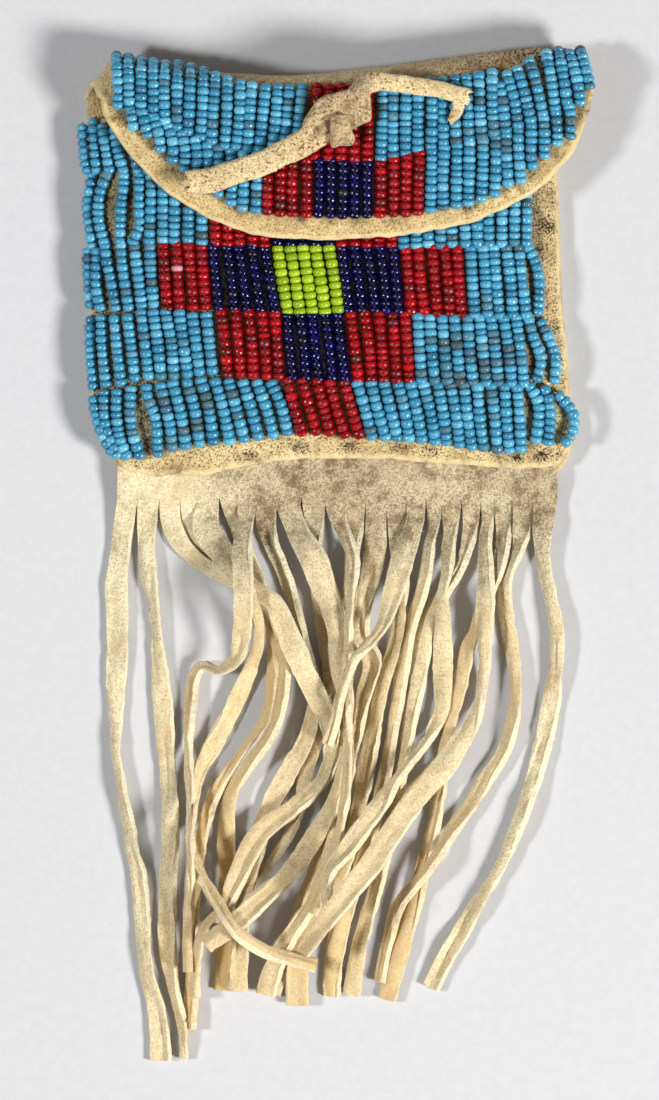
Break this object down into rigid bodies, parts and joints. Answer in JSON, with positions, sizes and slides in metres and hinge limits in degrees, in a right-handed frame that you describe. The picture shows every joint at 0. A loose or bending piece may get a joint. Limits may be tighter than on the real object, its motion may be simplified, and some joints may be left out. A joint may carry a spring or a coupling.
{
  "type": "beaded belt pouch",
  "caption": "Small flat hide pouch with a glass-beaded front, a beaded flap that folds over its mouth, a knotted thong and a long cut hide fringe.",
  "frame": {"origin": "middle of the back panel's flat underside, halfway between the fold and the hem", "axes": "+X across the pouch to the right as the beaded front is seen, +Y from the hem up to the fold, +Z out of the beaded front"},
  "size_m": [0.0937, 0.1881, 0.0178],
  "materials": {
    "cream_hide": "soft brain-tanned hide, matt, with brown specks",
    "fringe_hide": "soft cut hide, matt, a little dirty at its root",
    "thong_hide": "rolled hide lace, matt",
    "turquoise_glass": "opaque glossy seed beads",
    "red_glass": "glossy translucent seed beads",
    "navy_glass": "glossy seed beads",
    "lime_glass": "opaque glossy seed beads"
  },
  "bodies": {
    "pouch": {"back_panel": "cream_hide", "flap_fold": "cream_hide", "front_panel": "cream_hide", "fringe_root": "fringe_hide", "front_lane_1_blue_left": "turquoise_glass", "front_lane_1_red": "red_glass", "front_lane_1_blue_right": "turquoise_glass", "front_lane_2_blue_left": "turquoise_glass", "front_lane_2_red_left": "red_glass", "front_lane_2_navy": "navy_glass", "front_lane_2_red_right": "red_glass", "front_lane_2_blue_right": "turquoise_glass", "front_lane_3_blue_left": "turquoise_glass", "front_lane_3_red_left": "red_glass", "front_lane_3_navy_left": "navy_glass", "front_lane_3_lime": "lime_glass", "front_lane_3_navy_right": "navy_glass", "front_lane_3_red_right": "red_glass", "front_lane_3_blue_right": "turquoise_glass", "front_lane_4_blue_left": "turquoise_glass", "front_lane_4_red_left": "red_glass", "front_lane_4_navy": "navy_glass", "front_lane_4_red_right": "red_glass", "front_lane_4_blue_right": "turquoise_glass", "front_lane_5_blue_left": "turquoise_glass", "front_lane_5_red": "red_glass", "front_lane_5_blue_right": "turquoise_glass", "bowed_string": "turquoise_glass"},
    "flap": {"flap_hide": "cream_hide", "flap_lane_1_blue_left": "turquoise_glass", "flap_lane_1_red": "red_glass", "flap_lane_1_blue_right": "turquoise_glass", "flap_lane_2_blue_left": "turquoise_glass", "flap_lane_2_red_left": "red_glass", "flap_lane_2_navy": "navy_glass", "flap_lane_2_red_right": "red_glass", "flap_lane_2_blue_right": "turquoise_glass", "thong_knot": "thong_hide", "thong_tail_left": "thong_hide", "thong_tail_right": "thong_hide"},
    "fringe": {"fringe": "fringe_hide"}
  },
  "joints": [
    {"name": "flap_hinge", "type": "hinge", "parent": "pouch", "child": "flap", "pos_m": [0, 0.0344, 0.0074], "axis": [-1, 0, 0], "range_deg": [0, 120], "deforming": ["flap_fold"]},
    {"name": "fringe_swing", "type": "hinge", "parent": "pouch", "child": "fringe", "pos_m": [0, -0.03535, 0.00225], "axis": [-1, 0, 0], "range_deg": [-45, 80]}
  ]
}
